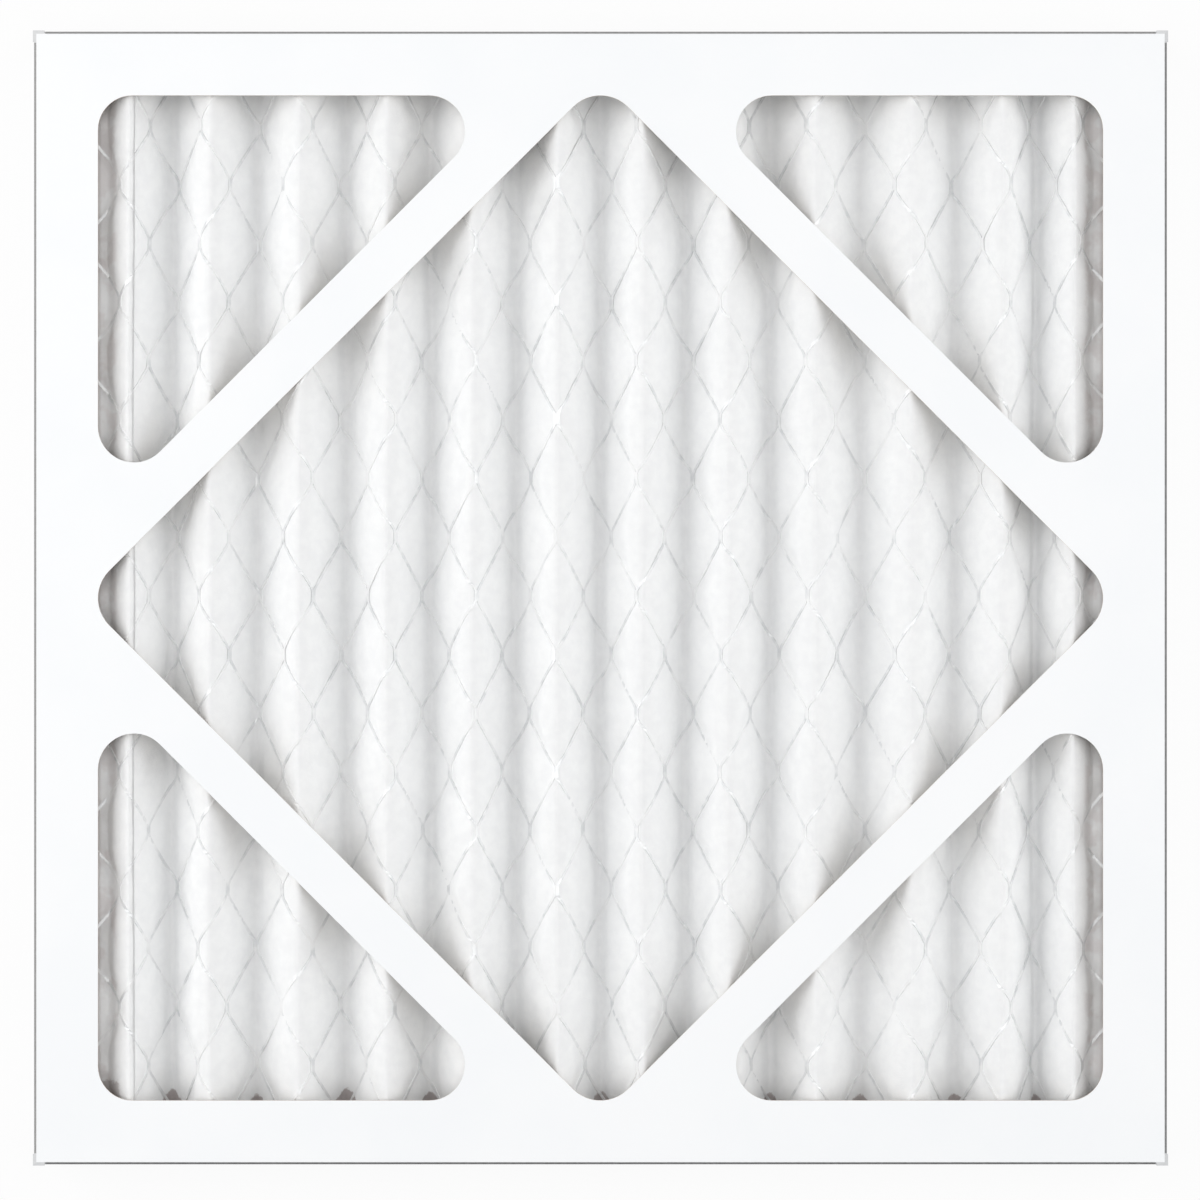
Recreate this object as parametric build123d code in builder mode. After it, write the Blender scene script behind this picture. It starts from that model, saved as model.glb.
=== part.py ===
# Pleated panel air filter, nominal 12 x 12 x 1 inch.
#
# Two die-cut trays of beverage board nest into each other round a pleated pack.
# The pack is one sheet of nonwoven media with a corrugated sheet of expanded
# metal on its front, sealed to the trays with hot-melt adhesive.
#
# The panel lies on its back: X runs across the pleats, Y along them and Z
# through the panel, from the back face at Z = 0 to the front face. Lengths in mm.

import os
from math import acos, atan2, copysign, cos, floor, hypot, sin, tan

from build123d import *

os.makedirs("parts", exist_ok=True)

# The panel
panel_width = 298.45    # across the pleats
panel_height = 298.45   # along the pleats
panel_depth = 19.05

# The two trays
board = 0.7             # thickness of the beverage board
border_width = 17.1     # face border, from the cut edge to the windows
strap_width = 12.7      # diagonal straps between the windows
middle_radius = 10.2    # corners of the middle window
corner_radius = 9.0     # square corners of the four outer windows
tip_radius = 9.5        # acute corners of the four outer windows
fold_radius = 0.7       # outside of every fold; inside it is a sharp crease
corner_relief = 3.0     # the folds stop this far short of the corners
cut_overhang = 0.26     # the cut corners stand this far proud of the folded walls
relief_slit = 0.5       # gap under the cut corners, down to the corner tabs
tab_length = 22.0       # corner tabs, glued behind the neighbouring wall
tab_taper = 4.0         # corners cut off the free end of a tab
nest_clearance = 0.15   # between the outer tray and the one nested in it
wall_lift = 0.3         # the outer walls end this far above the back face

# The pleated pack
pleat_count = 13
media_thickness = 1.8
mesh_gauge = 0.4        # thickness of the expanded metal
diamond_length = 30.1   # one diamond, along the pleats
diamond_width = 23.3    # one diamond, across the pleats and along the slopes
strand_width = 0.7
mesh_selvedge = 0.5     # least metal between the outer diamonds and the edge
laminate_gap = 0.05     # between the metal and the media, and under the pleats

# The adhesive
film_thickness = 0.25   # on the inside of both faces
film_setback = 1.5      # the film stays this far back from the windows
end_seal_thickness = 1.5
side_seal_thickness = 0.8
side_seal_height = 6.0

# Folded walls of the outer, front tray
fold_strip = fold_radius + board        # strip of the face that belongs to a fold
wall_x = panel_width / 2 - cut_overhang
wall_y = panel_height / 2 - cut_overhang
fold_half_x = panel_width / 2 - corner_relief
fold_half_y = panel_height / 2 - corner_relief
tab_x = wall_x - board                  # outer face of the tabs
tab_base = board + nest_clearance
tab_top = panel_depth - board - relief_slit

# The inner, back tray fits between the walls and the tabs
inner_wall_x = tab_x - nest_clearance
inner_wall_y = wall_y - board - nest_clearance
inner_fold_half_x = tab_x - board - nest_clearance
inner_fold_half_y = wall_y - tab_length - nest_clearance
inner_wall_top = panel_depth - board - nest_clearance

# Clear space inside both trays
room_x = inner_wall_x - board
room_y = inner_wall_y - board
pack_half_x = room_x - side_seal_thickness
pack_half_y = room_y - end_seal_thickness
film_base = board + film_thickness
film_top = panel_depth - board - film_thickness

# Windows: the middle one is a rhombus whose rounded corners touch the border
window_x = panel_width / 2 - border_width
window_y = panel_height / 2 - border_width
strap_angle = atan2(window_y, window_x)
middle_inset = min(
    (window_x - middle_radius) * sin(strap_angle) + middle_radius,
    (window_y - middle_radius) * cos(strap_angle) + middle_radius,
)                                       # from the panel's centre to each side
middle_x = middle_inset / sin(strap_angle)
middle_y = middle_inset / cos(strap_angle)
strap_inset = middle_inset + strap_width
corner_x = (strap_inset - window_y * cos(strap_angle)) / sin(strap_angle)
corner_y = (strap_inset - window_x * sin(strap_angle)) / cos(strap_angle)

# Pleats: straight legs between sharp creases, rounded outside to the media's thickness.
# The metal lies on the media and its creases reach the front film; the media's rounded
# folds stand on the back film. That settles the angle a of the legs:
# half_pitch * tan(a) + metal_height / cos(a) = fold_height
half_pitch = pack_half_x / pleat_count
metal_height = mesh_gauge + laminate_gap
fold_height = film_top - film_base - laminate_gap - media_thickness
leg_angle = acos(metal_height / hypot(half_pitch, fold_height)) - atan2(half_pitch, fold_height)
leg_rise = half_pitch * tan(leg_angle)


def side_plane(across_x, across_y):
    """Upright section plane: local x points out through one side, local y up"""
    return Plane(origin=(0, 0, 0), x_dir=(across_x, across_y, 0), z_dir=(across_y, -across_x, 0))


def fold_section(plane, wall_face, face_level, wall_end):
    """Section of one folded wall: a strip of the face, the fold and the wall"""
    inside_level = face_level + copysign(board, wall_end - face_level)
    strip_start = wall_face - fold_strip
    with BuildSketch(plane) as section:
        with BuildLine():
            Polyline(
                (strip_start, face_level),
                (wall_face, face_level),
                (wall_face, wall_end),
                (wall_face - board, wall_end),
                (wall_face - board, inside_level),
                (strip_start, inside_level),
                close=True,
            )
        make_face()
        fillet(section.vertices().sort_by_distance((wall_face, face_level))[0], fold_radius)
    return section.sketch


def tray_walls(wall_face_x, wall_face_y, half_x, half_y, face_level, wall_end):
    """The four folded walls of a tray; half_x and half_y are half the folds' lengths"""
    for across in (1, -1):
        extrude(
            fold_section(side_plane(across, 0), wall_face_x, face_level, wall_end),
            amount=half_y, both=True,
        )
        extrude(
            fold_section(side_plane(0, across), wall_face_y, face_level, wall_end),
            amount=half_x, both=True,
        )


def face_outline(half_x, half_y, fold_face_x, fold_face_y, fold_x, fold_y):
    """Flat face of a tray, with the strips left out that the folds bend down from"""
    strip_x = half_x - fold_face_x + fold_strip
    strip_y = half_y - fold_face_y + fold_strip
    Rectangle(2 * half_x, 2 * half_y)
    with Locations((half_x - strip_x / 2, 0), (-half_x + strip_x / 2, 0)):
        Rectangle(strip_x, 2 * fold_y, mode=Mode.SUBTRACT)
    with Locations((0, half_y - strip_y / 2), (0, -half_y + strip_y / 2)):
        Rectangle(2 * fold_x, strip_y, mode=Mode.SUBTRACT)
    add(windows, mode=Mode.SUBTRACT)


def pleat_line(depth_below):
    """Zigzag that lies a depth below the metal's upper face, measured square to it"""
    crest = film_top - depth_below / cos(leg_angle)
    legs = range(-1, 2 * pleat_count + 2)
    return [(leg * half_pitch - pack_half_x, crest - leg_rise * (leg % 2)) for leg in legs]


def five_windows(middle, corner):
    """The middle window and its corner window repeated in all four corners"""
    with BuildSketch() as five:
        add(middle)
        add(corner)
        mirror(corner, about=Plane.YZ)
        mirror(five.sketch, about=Plane.XZ)
    return five.sketch


# The windows with sharp corners bound the adhesive, and rounded they are cut in the trays
with BuildSketch() as middle_window:
    with BuildLine():
        Polyline((middle_x, 0), (0, middle_y), (-middle_x, 0), (0, -middle_y), close=True)
    make_face()

with BuildSketch() as corner_window:
    with BuildLine():
        Polyline((corner_x, window_y), (window_x, window_y), (window_x, corner_y), close=True)
    make_face()

sharp_windows = five_windows(middle_window.sketch, corner_window.sketch)

with middle_window:
    fillet(middle_window.vertices(), middle_radius)

with corner_window:
    tips = corner_window.vertices().sort_by_distance((window_x, window_y))[1:]
    fillet(tips, tip_radius)
    fillet(corner_window.vertices().sort_by_distance((window_x, window_y))[0], corner_radius)

windows = five_windows(middle_window.sketch, corner_window.sketch)


# Front tray: die-cut face, four folded walls and a tab round each corner
with BuildPart() as front_frame:
    with BuildSketch(Plane.XY.offset(panel_depth - board)):
        face_outline(
            panel_width / 2, panel_height / 2, wall_x, wall_y, fold_half_x, fold_half_y,
        )
    extrude(amount=board)
    tray_walls(wall_x, wall_y, fold_half_x, fold_half_y, panel_depth, wall_lift)

with BuildPart() as corner_tab:
    with BuildSketch(Plane.XY.offset(tab_base)) as tab_section:
        with BuildLine():
            Polyline(
                (fold_half_x - fold_strip, wall_y),
                (tab_x, wall_y),
                (tab_x, wall_y - tab_length),
                (tab_x - board, wall_y - tab_length),
                (tab_x - board, wall_y - board),
                (fold_half_x - fold_strip, wall_y - board),
                close=True,
            )
        make_face()
        fillet(tab_section.vertices().sort_by_distance((tab_x, wall_y))[0], fold_radius)
    extrude(amount=tab_top - tab_base)
    free_end = corner_tab.edges().filter_by(Axis.X).group_by(Axis.Y)[0]
    chamfer(free_end, tab_taper)

with front_frame:
    add(corner_tab.part)
    mirror(corner_tab.part, about=Plane.YZ)
    mirror(corner_tab.part, about=Plane.XZ)
    mirror(mirror(corner_tab.part, about=Plane.YZ, mode=Mode.PRIVATE), about=Plane.XZ)
front_frame.part.label = "front_frame"

# Back tray: the same windows, its walls standing up inside the front tray's
with BuildPart() as back_frame:
    with BuildSketch():
        face_outline(
            inner_wall_x, inner_wall_y, inner_wall_x, inner_wall_y,
            inner_fold_half_x, inner_fold_half_y,
        )
    extrude(amount=board)
    tray_walls(
        inner_wall_x, inner_wall_y, inner_fold_half_x, inner_fold_half_y, 0, inner_wall_top,
    )
back_frame.part.label = "back_frame"

# Media: one sheet, folded up and down between the side walls
with BuildPart() as pleated_media:
    with BuildSketch(Plane.XZ) as media_section:
        front_line = pleat_line(metal_height)
        back_line = pleat_line(metal_height + media_thickness)
        with BuildLine():
            Polyline(*front_line, *reversed(back_line), close=True)
        make_face()
        folds = media_section.vertices().filter_by_position(
            Axis.X, -pack_half_x - half_pitch / 2, pack_half_x + half_pitch / 2,
        ).group_by(Axis.Y)
        fillet(folds[0] + folds[-1], media_thickness)
        with Locations((0, panel_depth / 2)):
            Rectangle(2 * pack_half_x, panel_depth, mode=Mode.INTERSECT)
    extrude(amount=pack_half_y, both=True)
pleated_media.part.label = "pleated_media"

# Expanded metal: a thin corrugated sheet, slit and stretched into staggered diamonds.
# Whole diamonds across the pleats; the selvedge cuts through the last ones along them.
diamond_step_x = diamond_width * cos(leg_angle)        # one diamond seen from the front
cell_half_x = diamond_step_x / 2
cell_half_y = diamond_length / 2
side_distance = cell_half_x * cell_half_y / hypot(cell_half_x, cell_half_y)
open_share = 1 - strand_width / (2 * side_distance)
open_half_x = pack_half_x - mesh_selvedge
open_half_y = pack_half_y - mesh_selvedge
columns = floor(2 * open_half_x / diamond_step_x)
rows = floor(open_half_y / diamond_length)
half_rows = floor(open_half_y / diamond_length + 0.5)

with BuildPart() as support_mesh:
    with BuildSketch(Plane.XZ):
        with BuildLine():
            Polyline(*pleat_line(0), *reversed(pleat_line(mesh_gauge)), close=True)
        make_face()
        with Locations((0, panel_depth / 2)):
            Rectangle(2 * pack_half_x, panel_depth, mode=Mode.INTERSECT)
    extrude(amount=pack_half_y, both=True)
    with BuildSketch():
        # An odd and an even number share a centre, so the two sets stand half a step apart
        odd_columns = columns - (columns + 1) % 2
        even_columns = columns - columns % 2
        for across, along in ((odd_columns, 2 * rows + 1), (even_columns, 2 * half_rows)):
            with GridLocations(diamond_step_x, diamond_length, across, along):
                Polygon(
                    (cell_half_x * open_share, 0),
                    (0, cell_half_y * open_share),
                    (-cell_half_x * open_share, 0),
                    (0, -cell_half_y * open_share),
                )
        Rectangle(2 * open_half_x, 2 * open_half_y, mode=Mode.INTERSECT)
    extrude(amount=panel_depth, mode=Mode.SUBTRACT)
support_mesh.part.label = "support_mesh"

# Adhesive inside both faces, and the seals round the four edges of the pack
def adhesive_film(level):
    """Film rolled on the inside of a face, back from the windows"""
    with BuildPart() as film:
        with BuildSketch(Plane.XY.offset(level)):
            Rectangle(2 * room_x, 2 * room_y)
            offset(sharp_windows, amount=film_setback, kind=Kind.INTERSECTION, mode=Mode.SUBTRACT)
        extrude(amount=film_thickness)
    return film.part


def pleat_end_seal(outward):
    """Hot-melt wall that closes the pleats' open ends; outward is 1 or -1 along Y"""
    with BuildPart() as seal:
        seal_y = outward * (room_y + pack_half_y) / 2
        with BuildSketch(Plane.XY.offset(film_base)):
            with Locations((0, seal_y)):
                Rectangle(2 * room_x, end_seal_thickness)
        extrude(amount=film_top - film_base)
    return seal.part


def side_seal(outward):
    """Bead that holds the sheet's last crest to the side wall; outward is 1 or -1 along X"""
    with BuildPart() as seal:
        seal_x = outward * (room_x + pack_half_x) / 2
        with BuildSketch(Plane.XY.offset(film_top - side_seal_height)):
            with Locations((seal_x, 0)):
                Rectangle(side_seal_thickness, 2 * pack_half_y)
        extrude(amount=side_seal_height)
    return seal.part


adhesive_parts = {
    "front_adhesive": adhesive_film(film_top),
    "back_adhesive": adhesive_film(board),
    "upper_end_seal": pleat_end_seal(1),
    "lower_end_seal": pleat_end_seal(-1),
    "right_side_seal": side_seal(1),
    "left_side_seal": side_seal(-1),
}
for name, adhesive in adhesive_parts.items():
    adhesive.label = name
    export_step(adhesive, f"parts/{name}.step")

for piece in (front_frame, back_frame, pleated_media, support_mesh):
    export_step(piece.part, f"parts/{piece.part.label}.step")
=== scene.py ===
import bpy
import numpy as np
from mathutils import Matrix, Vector


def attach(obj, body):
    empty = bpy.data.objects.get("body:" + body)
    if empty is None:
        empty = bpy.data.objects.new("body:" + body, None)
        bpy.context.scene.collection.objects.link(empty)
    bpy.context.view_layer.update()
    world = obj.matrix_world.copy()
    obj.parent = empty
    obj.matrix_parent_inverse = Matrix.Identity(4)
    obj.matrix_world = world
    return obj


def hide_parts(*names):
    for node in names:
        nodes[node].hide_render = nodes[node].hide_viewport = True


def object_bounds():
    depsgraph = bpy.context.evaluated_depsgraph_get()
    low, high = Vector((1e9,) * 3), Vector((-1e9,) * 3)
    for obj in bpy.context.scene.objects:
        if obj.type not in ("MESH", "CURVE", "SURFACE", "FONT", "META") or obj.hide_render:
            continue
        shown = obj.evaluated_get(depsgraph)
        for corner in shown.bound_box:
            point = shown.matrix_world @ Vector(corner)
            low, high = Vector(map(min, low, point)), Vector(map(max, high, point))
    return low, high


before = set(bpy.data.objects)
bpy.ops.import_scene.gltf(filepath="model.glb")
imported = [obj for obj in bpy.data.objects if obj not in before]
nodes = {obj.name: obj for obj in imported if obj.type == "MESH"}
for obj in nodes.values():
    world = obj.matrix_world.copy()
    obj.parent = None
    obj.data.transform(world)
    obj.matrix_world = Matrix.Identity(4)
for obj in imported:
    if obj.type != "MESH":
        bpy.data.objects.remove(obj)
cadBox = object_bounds()
print("frame loaded:", len(nodes), "pieces")


def smoothStep(low, high, value):
    t = np.clip((value - low) / (high - low), 0, 1)
    return t * t * (3 - 2 * t)


def softNoise(x, y, size, seed):
    # value noise: random numbers on a square lattice of the given size, blended with
    # 3t^2 - 2t^3 between the four nearest, so it runs smoothly from -1 to 1
    table = np.random.default_rng(seed).uniform(-1, 1, (64, 64))
    gx, gy = x / size, y / size
    ix, iy = np.floor(gx).astype(int), np.floor(gy).astype(int)
    tx, ty = gx - ix, gy - iy
    tx, ty = tx * tx * (3 - 2 * tx), ty * ty * (3 - 2 * ty)

    def pick(a, b):
        return table[(ix + a) % 64, (iy + b) % 64]

    low = pick(0, 0) * (1 - tx) + pick(1, 0) * tx
    high = pick(0, 1) * (1 - tx) + pick(1, 1) * tx
    return low * (1 - ty) + high * ty


def meshPiece(name, points, quads, smooth=True):
    mesh = bpy.data.meshes.new(name)
    mesh.from_pydata(points.reshape(-1, 3), [], quads)
    mesh.update()
    mesh.polygons.foreach_set("use_smooth", np.full(len(mesh.polygons), smooth))
    piece = bpy.data.objects.new(name, mesh)
    bpy.context.scene.collection.objects.link(piece)
    return piece


def gridQuads(index):
    # quads between neighbouring rows and columns of an index grid, in the order
    # that points their normals along (across x along)
    a = index[:-1, :-1].ravel()
    b = index[1:, :-1].ravel()
    c = index[1:, 1:].ravel()
    d = index[:-1, 1:].ravel()
    return np.stack([a, b, c, d], 1)


pleats = {
    "count": 13,
    "halfWidth": 0.146615,      # the pack, from its middle to its ends
    "halfLength": 0.145915,
    "crestHeight": 0.01765,     # front of the sheet at its crests
    "valleyHeight": 0.0031,
    "crestRound": 0.0012,       # reach of the rounding at a fold, across the pleats
    "valleyRound": 0.0014,
    "thickness": 0.0018,
    "lowestBack": 0.001,        # the back of the sheet stays above this
    "endLift": 0.0085,          # the two outermost valleys are pulled up this much
    "endPull": 0.0053,          # and in this much
    # where folds stand aside: middle of the place, its reach to the left and right, how far
    "crowding": [(-0.1, 0.034, 0.034, -0.0016), (0.1, 0.05, 0.03, 0.0043)],
    "wander": 0.0004,           # every fold wanders this much along its length,
    "wanderSize": 0.05,         # in waves of this size,
    "wanderFade": 0.128,        # and less from here to the ends
    # unevenness of the faces: height, size of the waves, seed
    "rumple": [(0.00012, 0.006, 3), (0.0002, 0.019, 5)],
    "rows": 148,
    "columns": 326,
    "flatSpacing": 0.0011,      # columns stand in proportion to this where the sheet is flat,
    "turnWeight": 1.6,          # and closer by this where it turns,
    "sharpestTurn": 900,        # up to this turn in radians a metre
}
puff = {
    "rise": 0.0011,             # the media swells this much inside a diamond,
    "reach": 0.0045,            # from nothing at a strand to all of it this far away
    "crestShare": 0.15,         # share that is left at the folds
    "flankFrom": 0.25,          # share of the height from which all of it shows
}
halfPitch = pleats["halfWidth"] / pleats["count"]
foldPlaces = (np.arange(2 * pleats["count"] + 1) - pleats["count"]) * halfPitch
foldDrop = (np.hypot(halfPitch, pleats["crestRound"]) - pleats["crestRound"]
            - pleats["valleyRound"])
legSlope = (pleats["crestHeight"] - pleats["valleyHeight"]) / foldDrop


def evenHeight(x):
    # with d the distance to the nearest crest, the sheet falls as a hyperbola that
    # leaves the crest level and meets the next valley level:
    # z = crest - slope * (sqrt(d^2 + c^2) - c - sqrt((p - d)^2 + v^2) + (p - d)),
    # and beyond the last crests it falls less
    phase = np.abs((x + pleats["halfWidth"]) / halfPitch) % 2
    d = np.minimum(phase, 2 - phase) * halfPitch
    crest, valley = pleats["crestRound"], pleats["valleyRound"]
    fall = np.hypot(d, crest) - crest - np.hypot(halfPitch - d, valley) + halfPitch - d
    shallow = 1 - pleats["endLift"] / (legSlope * foldDrop) * (np.abs(x) > foldPlaces[-3])
    return pleats["crestHeight"] - legSlope * fall * shallow


def nudged(x, y):
    # folds stand aside in humps of amount * (1 - t^2)^2, with t the distance over the reach.
    # The outermost valleys are pulled in, and every fold wanders a little along its length
    shift = -np.sign(x) * np.interp(np.abs(x), foldPlaces[-3:], [0, pleats["endPull"], 0])
    for place, left, right, amount in pleats["crowding"]:
        t = (x - place) / np.where(x < place, left, right)
        shift = shift + amount * np.clip(1 - t * t, 0, None) ** 2
    inside = 1 - smoothStep(pleats["wanderFade"], pleats["halfWidth"], np.abs(x))
    return x + shift + inside * pleats["wander"] * softNoise(x, y, pleats["wanderSize"], seed=11)


fineSteps = 26001
evenX = np.linspace(-pleats["halfWidth"], pleats["halfWidth"], fineSteps)
fineX, fineZ = nudged(evenX, 0 * evenX), evenHeight(evenX)
fineArc = np.concatenate([[0], np.cumsum(np.hypot(np.diff(fineX), np.diff(fineZ)))])
sheetWidth = fineArc[-1]
midArc = np.interp(0, evenX, fineArc)

strands = {
    "diamondWidth": 0.0239,
    "diamondLength": 0.03105,
    "firstJoint": (-0.0072, 0.0006),    # from the sheet's middle, across and along
    "bond": 0.0026,             # the slit sheet stays joined over this length
    "width": 0.00075,
    "thickness": 0.0003,
    "proud": 0.00012,           # from the sheet's front to the middle of a strand
    "slip": (0.02, 0.105, 0.0035),      # between these places the net is drawn out this much
    "inset": (0.0006, 0.0004),  # strands stop this far inside the sheet, across and along
    "slopePoints": 13,
    "wander": 0.0005,           # and they wander this much, in waves of this size
    "wanderSize": 0.03,
}


def netSlip(s):
    # how far the net is moved across, growing from nothing to its full amount
    low, high, amount = strands["slip"]
    return amount * smoothStep(low, high, s)


def strandDistance(s, y):
    # distance to the nearest strand of the diamond net: with the net folded into one
    # quarter of a diamond, w wide and l long, the strand is the line from corner to corner
    w, l = strands["diamondWidth"] / 2, strands["diamondLength"] / 2
    s = s - netSlip(s)
    u = np.abs(((s - strands["firstJoint"][0]) / w) % 2 - 1) * w
    v = np.abs(((y - strands["firstJoint"][1]) / l) % 2 - 1) * l
    return np.abs(u * l - v * w) / np.hypot(w, l)


def sheetPoint(s, y, lift):
    # a point on the front of the sheet at arc s from its middle fold, raised square to it
    x = np.interp(s + midArc, fineArc, evenX)
    step = 0.00002
    run = nudged(x + step, y) - nudged(x - step, y)
    climb = evenHeight(x + step) - evenHeight(x - step)
    size = np.hypot(run, climb)
    px = nudged(x, y) - lift * climb / size
    pz = evenHeight(x) + lift * run / size
    return np.stack([px, y + 0 * px, pz], -1)


def makeSheet():
    # arc positions crowd together where the slope turns, so a fold stays round
    turning = np.abs(np.gradient(np.arctan(np.gradient(fineZ, fineX)), fineArc))
    turning = np.minimum(turning, pleats["sharpestTurn"])
    weight = 1 / pleats["flatSpacing"] + turning * pleats["turnWeight"]
    ladder = np.cumsum((weight[1:] + weight[:-1]) / 2 * np.diff(fineArc))
    ladder = np.concatenate([[0], ladder])
    columns, rows = pleats["columns"], pleats["rows"]
    s = np.interp(np.linspace(0, ladder[-1], columns), ladder, fineArc) - midArc
    y = np.linspace(-pleats["halfLength"], pleats["halfLength"], rows)
    sGrid, yGrid = np.meshgrid(s, y, indexing="ij")

    swell = smoothStep(0, puff["reach"], strandDistance(sGrid, yGrid)) * puff["rise"]
    x = np.interp(sGrid + midArc, fineArc, evenX)
    depth = pleats["crestHeight"] - pleats["valleyHeight"]
    height = (evenHeight(x) - pleats["valleyHeight"]) / depth
    fromFold = np.minimum(height, 1 - height)
    flank = smoothStep(0, puff["flankFrom"], fromFold)
    rumple = sum(rise * softNoise(sGrid, yGrid, size, seed)
                 for rise, size, seed in pleats["rumple"])
    # the sheet may not swell at the crests, where the frame presses on it
    share = puff["crestShare"] + (1 - puff["crestShare"]) * flank
    front = sheetPoint(sGrid, yGrid, swell * share + rumple * flank)
    back = sheetPoint(sGrid, yGrid, -pleats["thickness"] + rumple * flank)
    back[..., 2] = np.maximum(back[..., 2], pleats["lowestBack"])
    halfWide = pleats["halfWidth"]
    for side in (front, back):
        side[0, :, 0] = -halfWide
        side[-1, :, 0] = halfWide
        side[..., 0] = np.clip(side[..., 0], -halfWide, halfWide)

    count = columns * rows
    top = np.arange(count).reshape(columns, rows)
    bottom = top + count
    faces = [gridQuads(top), gridQuads(bottom)[:, ::-1]]
    for edge, flip in ((np.s_[0, :], False), (np.s_[-1, :], True),
                       (np.s_[:, 0], True), (np.s_[:, -1], False)):
        a, b = top[edge], bottom[edge]
        strip = np.stack([a[:-1], a[1:], b[1:], b[:-1]], 1)
        faces.append(strip[:, ::-1] if flip else strip)
    points = np.concatenate([front.reshape(-1, 3), back.reshape(-1, 3)])
    return meshPiece("mediaSheet", points, np.concatenate(faces).tolist())


def makeStrands():
    # one strand zigzags between two neighbouring lines of joints: a straight slope, then
    # a short upright bond, and so on. Its section is a flat rectangle of four corners
    w, l = strands["diamondWidth"] / 2, strands["diamondLength"] / 2
    firstS, firstY = strands["firstJoint"]
    insetS, insetY = strands["inset"]
    low, high = insetS - midArc, sheetWidth - midArc - insetS
    halfLong = pleats["halfLength"] - insetY
    steps = int(np.ceil(halfLong / l)) + 2
    slope = np.linspace(0, 1, strands["slopePoints"])
    along = (strands["bond"] / 2 + slope * (l - strands["bond"])) / l
    turns = np.arange(-steps, steps)
    y = ((turns[:, None] + along) * l).ravel() + firstY
    share = np.where(turns[:, None] % 2 == 0, slope, 1 - slope).ravel()
    inside = np.abs(y) < halfLong
    y, share = y[inside], share[inside]
    lines = np.arange(int(np.ceil((low - firstS) / w)), int((high - firstS) / w))
    # beside a joint a strand keeps half its own width off the line of joints
    half, thick = strands["width"] / 2, strands["thickness"] / 2
    way = np.where(lines[:, None] % 2 == 0, share, 1 - share) * w
    s = firstS + lines[:, None] * w + np.clip(way, half, w - half)
    y = y + 0 * s
    s = s + netSlip(s) + strands["wander"] * softNoise(s, y, strands["wanderSize"], seed=23)
    runS, runY = np.gradient(s, axis=1), np.gradient(y, axis=1)
    size = np.hypot(runS, runY)
    corners = []
    for side, level in ((-1, -1), (1, -1), (1, 1), (-1, 1)):
        edgeS = np.clip(s + side * half * runY / size, low, high)
        edgeY = y - side * half * runS / size
        corners.append(sheetPoint(edgeS, edgeY, strands["proud"] + level * thick))
    points = np.stack(corners, 2)
    count, length = s.shape
    index = np.arange(count * length * 4).reshape(count, length, 4)
    around = np.concatenate([index, index[..., :1]], 2)
    a, b = around[:, :-1, :-1], around[:, 1:, :-1]
    c, d = around[:, 1:, 1:], around[:, :-1, 1:]
    sides = np.stack([a, b, c, d], -1).reshape(-1, 4)
    ends = np.concatenate([index[:, 0, :], index[:, -1, ::-1]])
    return meshPiece("expandedMetal", points, np.concatenate([sides, ends]).tolist(), False)


class Wire:
    # a socket's value that takes ordinary arithmetic
    def __init__(self, made, socket):
        self.made, self.socket = made, socket

    def __add__(self, other):
        return self.made.maths("ADD", self, other)

    def __radd__(self, other):
        return self.made.maths("ADD", other, self)

    def __sub__(self, other):
        return self.made.maths("SUBTRACT", self, other)

    def __rsub__(self, other):
        return self.made.maths("SUBTRACT", other, self)

    def __mul__(self, other):
        return self.made.maths("MULTIPLY", self, other)

    def __rmul__(self, other):
        return self.made.maths("MULTIPLY", other, self)

    def above(self, limit):
        return self.made.maths("GREATER_THAN", self, limit)

    def between(self, low, high):
        # 0 below low, 1 above high, smooth in the middle
        return self.made.add("ShaderNodeMapRange", {"interpolation_type": "SMOOTHSTEP"},
                             {"Value": self, "From Min": low, "From Max": high})


class Recipe:
    # the nodes of one finish, or of the sky
    def __init__(self, owner):
        owner.use_nodes = True
        self.owner = owner
        self.nodes, self.links = owner.node_tree.nodes, owner.node_tree.links
        self.nodes.clear()

    def add(self, kind, settings=None, sockets=None, out=0):
        node = self.nodes.new(kind)
        for key, value in (settings or {}).items():
            setattr(node, key, value)
        for key, value in (sockets or {}).items():
            if isinstance(value, Wire):
                self.links.new(value.socket, node.inputs[key])
            elif node.inputs[key].type == "RGBA":
                node.inputs[key].default_value = (*value, 1)
            else:
                node.inputs[key].default_value = value
        return None if out is None else Wire(self, node.outputs[out])

    def maths(self, operation, *values):
        return self.add("ShaderNodeMath", {"operation": operation}, dict(enumerate(values)))

    def place(self, stretch=(1, 1, 1)):
        at = self.add("ShaderNodeTexCoord", out="Object")
        return self.add("ShaderNodeMapping", None, {"Vector": at, "Scale": stretch})

    def parts(self, vector):
        return [self.add("ShaderNodeSeparateXYZ", None, {0: vector}, out=k) for k in range(3)]

    def facing(self):
        return self.parts(self.add("ShaderNodeNewGeometry", out="Normal"))

    def noise(self, where, scale, detail, roughness):
        return self.add("ShaderNodeTexNoise", None, {"Vector": where, "Scale": scale,
                                                     "Detail": detail, "Roughness": roughness})

    def blend(self, factor, first, second):
        return self.add("ShaderNodeMix", {"data_type": "RGBA"},
                        {0: factor, 6: first, 7: second}, out=2)

    def bump(self, height, distance, strength, normal=None):
        sockets = {"Height": height, "Distance": distance, "Strength": strength}
        if normal is not None:
            sockets["Normal"] = normal
        return self.add("ShaderNodeBump", None, sockets)

    def principled(self, **sockets):
        named = {key.replace("_", " "): value for key, value in sockets.items()}
        return self.finish(self.add("ShaderNodeBsdfPrincipled", None, named))

    def finish(self, shader):
        kind = "World" if isinstance(self.owner, bpy.types.World) else "Material"
        self.add("ShaderNodeOutput" + kind, None, {"Surface": shader}, out=None)
        return self.owner


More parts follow.
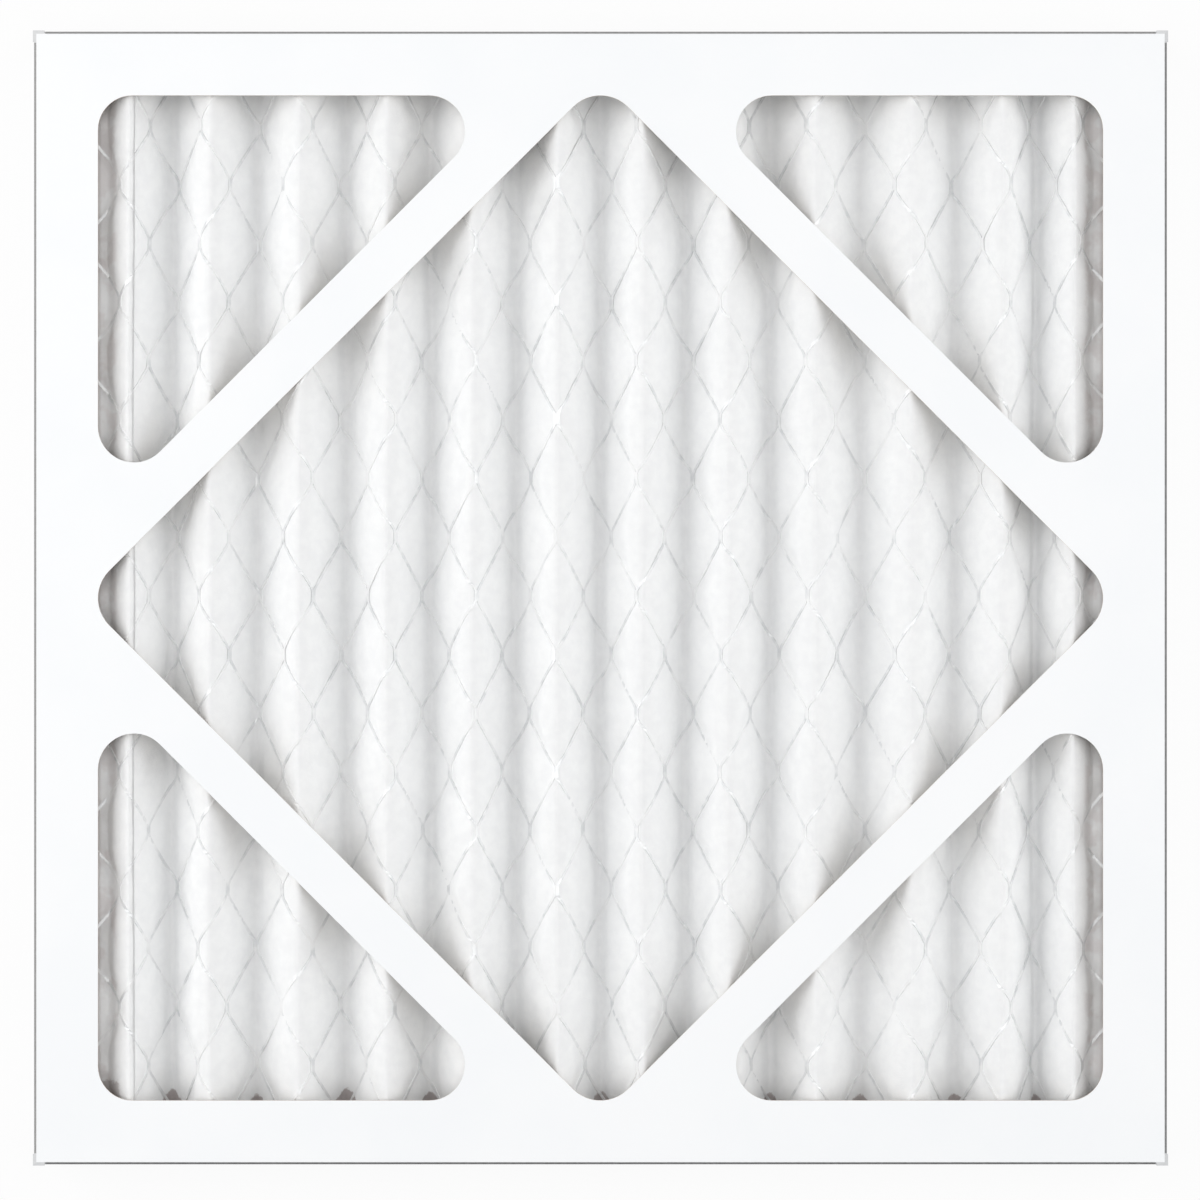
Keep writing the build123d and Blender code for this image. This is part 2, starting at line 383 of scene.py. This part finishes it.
def newRecipe(name):
    return Recipe(bpy.data.materials.new(name))


boardLook = {
    "coat": ((0.921, 0.935, 0.950), (0.940, 0.950, 0.960)),
    "kraft": ((0.50, 0.42, 0.345), (0.62, 0.54, 0.46)),     # bare inside and cut edges
    "foldShade": ((0.16, 0.156, 0.152), (0.02, 0.019, 0.018)),  # painted shade of the folds: left and upper, and darker right and lower, away from the light
    # the coated half of the board's thickness lies above, below and beyond these
    "frontSkin": 0.0187,
    "backSkin": 0.00035,
    "wallSkin": 0.1486,
    "foldShadeSide": (0.1482, 0.14845),     # the painted fold shade grows between these distances from the middle
    "foldShadeHeight": (0.0178, 0.0183),    # and between these heights,
    "cornerFrom": 0.1460,               # and are paler in the corners
}


def boardFinish():
    # clay coat outside, bare brown board inside and on the cut edges
    made = newRecipe("coatedBoard")
    where = made.place()
    grain = made.noise(made.place((1, 3, 1)), 900, 3, 0.6)
    cloud = made.noise(where, 28, 3, 0.5)
    fibres = made.noise(made.place((1, 5, 5)), 700, 4, 0.65)
    coat = made.blend(cloud.between(0.35, 0.65), *boardLook["coat"])
    kraft = made.blend(fibres.between(0.35, 0.65), *boardLook["kraft"])
    x, y, z = made.parts(where)
    farX, farY = made.maths("ABSOLUTE", x), made.maths("ABSOLUTE", y)
    side = made.maths("MAXIMUM", farX, farY)
    upright = made.maths("ABSOLUTE", made.facing()[2])
    front, back = z.above(boardLook["frontSkin"]), 1 - z.above(boardLook["backSkin"])
    wall = side.above(boardLook["wallSkin"])
    outside = upright.above(0.5) * made.maths("MAXIMUM", front, back)
    coated = made.maths("MAXIMUM", wall, outside)
    shade = made.blend(coated, kraft, coat)
    # shade is painted along the folds round the front face, darker on the right and lower sides,
    # away from the light
    corner = made.maths("MINIMUM", farX, farY).above(boardLook["cornerFrom"])
    foldShade = side.between(*boardLook["foldShadeSide"]) * z.between(*boardLook["foldShadeHeight"])
    foldShade = foldShade * (1 - 0.6 * corner)
    # the right and lower folds get the darker painted shade
    foldShadeColour = made.blend((x - y).above(0), *boardLook["foldShade"])
    shade = made.blend(foldShade * (0.7 + 0.3 * grain), shade, foldShadeColour)
    return made.principled(Base_Color=shade, Normal=made.bump(grain, 0.00003, 0.35),
                           Roughness=0.42 + 0.12 * grain + 0.3 * (1 - coated))


mediaLook = {
    "fibres": ((0.91, 0.915, 0.92), (0.95, 0.955, 0.955)),
    "cloud": (0.885, 0.89, 0.895),
    "paintedShade": (0.46, 0.41, 0.405),    # painted shade under the frame, at the valley ends, the lower left corner and the window edges
    "tint": (0.62, 0.54, 0.53),
    "shadeFoot": -0.1328,            # the mounds of painted shade at the valley ends start from here
    "shadeRise": (0.0006, 0.0018),   # their least height, and how much more the largest have
    "shadeClimb": 0.75,              # how fast they end as the sheet climbs
    "shadeEdge": (-0.0004, 0.0004),
    "shadeRagged": 0.0016,
    "cornerAlong": (-0.1282, -0.1268),  # painted shade in the lower left corner fades out between these
    "cornerAcross": (-0.1275, -0.1262),
    "endTint": (0.1268, 0.1285),    # a tint at both ends of the pack grows between these
    # and painted shade along the window edges, under the frame, grows between these
    "endShade": (0.1316, 0.133),
}


def mediaFinish():
    made = newRecipe("mediaFibres")
    where = made.place()
    fibre = made.noise(made.place((1, 2.2, 1)), 1500, 4, 0.7)
    clump = made.noise(where, 320, 3, 0.6)
    cloud = made.noise(where, 45, 2, 0.5)
    shade = made.blend(clump.between(0.3, 0.7), *mediaLook["fibres"])
    shade = made.blend(0.25 * cloud.between(0.4, 0.7), shade, mediaLook["cloud"])
    # shade is painted on the front of the sheet at the lower ends of its valleys, under the
    # frame, in
    # mounds: their height falls as the sheet climbs out of the valley
    x, y, z = made.parts(where)
    upper = made.facing()[2].above(0)
    ragged = mediaLook["shadeRagged"] * (made.noise(where, 900, 2, 0.6) - 0.5)
    least, more = mediaLook["shadeRise"]
    rise = least + more * made.noise(where, 34, 1, 0.5).between(0.38, 0.62)
    climb = mediaLook["shadeClimb"] * (z - pleats["valleyHeight"] - 0.0002)
    past = y - mediaLook["shadeFoot"] + climb + ragged - rise
    shadeMound = 1 - past.between(*mediaLook["shadeEdge"])
    # painted shade in the lower left corner, where the frame shades the end of the pack
    low = 1 - (y + 2 * ragged).between(*mediaLook["cornerAlong"])
    corner = low * (1 - (x + ragged).between(*mediaLook["cornerAcross"]))
    paintedShade = made.maths("MAXIMUM", shadeMound, 0.7 * corner) * upper
    shade = made.blend(0.9 * paintedShade, shade, mediaLook["paintedShade"])
    # and thinly along both ends of the pack
    farX = made.maths("ABSOLUTE", x)
    patch = made.noise(where, 110, 3, 0.6).between(0.48, 0.6)
    tint = farX.between(*mediaLook["endTint"]) * patch
    shade = made.blend(0.28 * tint * upper, shade, mediaLook["tint"])
    # painted shade in a thin line along the window edges at both ends, where the frame shades
    # the sheet
    ends = farX.between(*mediaLook["endShade"])
    shade = made.blend(0.6 * ends * upper, shade, mediaLook["paintedShade"])
    bump = made.bump(clump, 0.00035, 0.4, made.bump(fibre, 0.00012, 0.5))
    return made.principled(Base_Color=shade, Roughness=0.95, Normal=bump, Specular_IOR_Level=0.2)


steelLook = {
    "zinc": ((0.74, 0.75, 0.76), (0.84, 0.845, 0.85)),
    "fluff": (0.92, 0.92, 0.92),    # fibres that cling to the metal
}


def steelFinish():
    made = newRecipe("galvanisedSteel")
    where = made.place()
    spangle = made.noise(where, 420, 2, 0.5)
    fluff = made.noise(where, 130, 2, 0.6).between(0.43, 0.6)
    shade = made.blend(spangle.between(0.35, 0.65), *steelLook["zinc"])
    shade = made.blend(0.75 * fluff, shade, steelLook["fluff"])
    return made.principled(Base_Color=shade, Metallic=0.4 - 0.36 * fluff,
                           Roughness=0.42 + 0.15 * spangle + 0.25 * fluff)


glueLook = {"amber": ((0.64, 0.59, 0.52), (0.74, 0.7, 0.63))}


def glueFinish():
    made = newRecipe("hotMeltGlue")
    lump = made.noise(made.place(), 260, 2, 0.5)
    shade = made.blend(lump.between(0.35, 0.65), *glueLook["amber"])
    return made.principled(Base_Color=shade, Roughness=0.4, Normal=made.bump(lump, 0.0003, 0.5))


def dress(piece, material):
    piece.data.materials.clear()
    piece.data.materials.append(material)


board, media, steel, glue = boardFinish(), mediaFinish(), steelFinish(), glueFinish()
for name in ("front_frame", "back_frame"):
    dress(nodes[name], board)
for name in nodes:
    if "adhesive" in name or "seal" in name:
        dress(nodes[name], glue)
print("finishes made")

sheet = makeSheet()
dress(sheet, media)
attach(sheet, "root")
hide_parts("pleated_media")
print("pleated sheet made, flat width", round(float(sheetWidth), 4))

metal = makeStrands()
dress(metal, steel)
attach(metal, "root")
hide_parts("support_mesh")
print("expanded metal made")


studio = {
    "skyStrength": 0.42,
    # soft boxes: place, width and height of the box, power
    "boxes": {
        "leftBox": ((-1.0, 0.2, 0.62), 1.5, 1.0, 8.0),
        "rightBox": ((1.05, 0.1, 0.62), 1.5, 1.0, 6.5),
        "topBox": ((0.0, 0.0, 1.7), 1.2, 1.2, 6.3),
        "underBox": ((0.0, 0.0, -1.7), 1.2, 1.2, 8.0),
    },
    "floorLevel": -0.0006,
    "floorHalf": 3.0,
    "floorColour": (0.9, 0.9, 0.9),
    "floorGlow": 0.88,          # share of the floor that glows by itself where it is seen
    "lensMillimetres": 135,
    "sensorMillimetres": 36,
    "clip": (0.01, 50),
    "cameraHeight": 1.183,      # above the front face
    "aim": (-0.00013, -0.00053),
}


def lightPath(made, name):
    return made.add("ShaderNodeLightPath", out=name)


def seen(made):
    # 1 for what the camera sees straight, in metal or through glass, 0 for light on matt faces
    rays = lightPath(made, "Is Camera Ray") + lightPath(made, "Is Glossy Ray")
    return made.maths("MINIMUM", rays + lightPath(made, "Is Transmission Ray"), 1)


def makeFloor():
    half, level = studio["floorHalf"], studio["floorLevel"]
    corners = np.array([[-half, -half, level], [half, -half, level],
                        [half, half, level], [-half, half, level]])
    floor = meshPiece("studioFloor", corners, [[0, 1, 2, 3]], False)
    made = newRecipe("paleFloor")
    matt = made.add("ShaderNodeBsdfDiffuse", None, {"Color": studio["floorColour"]})
    glow = made.add("ShaderNodeEmission", None, {"Color": (1, 1, 1), "Strength": 1})
    share = studio["floorGlow"] * seen(made)
    pale = made.add("ShaderNodeMixShader", None, {0: share, 1: matt, 2: glow})
    # from below the floor is clear, and the back of the panel is lit through it
    below = made.add("ShaderNodeNewGeometry", out="Backfacing")
    light = lightPath(made, "Is Diffuse Ray") + lightPath(made, "Is Shadow Ray")
    through = made.maths("MAXIMUM", below, made.maths("MINIMUM", light, 1))
    clear = made.add("ShaderNodeBsdfTransparent")
    shader = made.add("ShaderNodeMixShader", None, {0: through, 1: pale, 2: clear})
    dress(floor, made.finish(shader))


def makeSky():
    world = bpy.data.worlds.new("studioSky")
    bpy.context.scene.world = world
    made = Recipe(world)
    soft = made.add("ShaderNodeBackground", None,
                    {"Color": (1, 1, 1), "Strength": studio["skyStrength"]})
    white = made.add("ShaderNodeBackground", None, {"Color": (1, 1, 1), "Strength": 1})
    made.finish(made.add("ShaderNodeMixShader", None, {0: seen(made), 1: soft, 2: white}))


def makeBoxes():
    for name, (place, width, height, power) in studio["boxes"].items():
        lamp = bpy.data.lights.new(name, "AREA")
        lamp.shape, lamp.size, lamp.size_y, lamp.energy = "RECTANGLE", width, height, power
        stand = bpy.data.objects.new(name, lamp)
        bpy.context.scene.collection.objects.link(stand)
        stand.location = place
        stand.rotation_euler = (-Vector(place)).to_track_quat("-Z", "Y").to_euler()


def makeCamera():
    lens = bpy.data.cameras.new("camera")
    lens.lens, lens.sensor_width = studio["lensMillimetres"], studio["sensorMillimetres"]
    lens.clip_start, lens.clip_end = studio["clip"]
    camera = bpy.data.objects.new("camera", lens)
    bpy.context.scene.collection.objects.link(camera)
    # left unturned, it looks straight down
    camera.location = (*studio["aim"], cadBox[1].z + studio["cameraHeight"])
    bpy.context.scene.camera = camera


makeFloor()
makeSky()
makeBoxes()
makeCamera()
bpy.context.scene.view_settings.view_transform = "Standard"
print("studio made")
